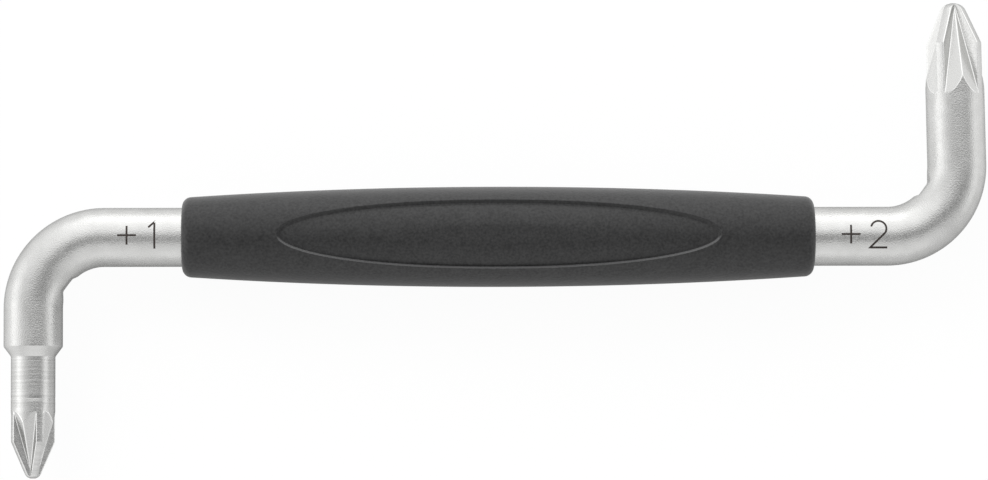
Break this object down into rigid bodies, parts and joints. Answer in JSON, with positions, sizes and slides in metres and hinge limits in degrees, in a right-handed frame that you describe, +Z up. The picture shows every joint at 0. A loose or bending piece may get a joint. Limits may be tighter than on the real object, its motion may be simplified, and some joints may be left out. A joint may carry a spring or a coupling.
{
  "type": "offset screwdriver",
  "caption": "Z-shaped offset screwdriver: a bent round steel bar with a cross-recess tip on each leg and a barrel-shaped plastic handle moulded round its middle.",
  "frame": {"origin": "on the table, under the bar's axis and midway between the two legs, with the tool lying on its side", "axes": "+X along the handle from the size 1 leg to the size 2 leg, -Y along the size 1 leg towards its tip, +Z up"},
  "size_m": [0.1, 0.0483, 0.0092],
  "materials": {
    "steel": "satin chrome plate over blasted steel",
    "handle_plastic": "matte black with a fine moulded grain"
  },
  "bodies": {
    "root": {"blade": "steel", "handle": "handle_plastic"}
  },
  "joints": []
}
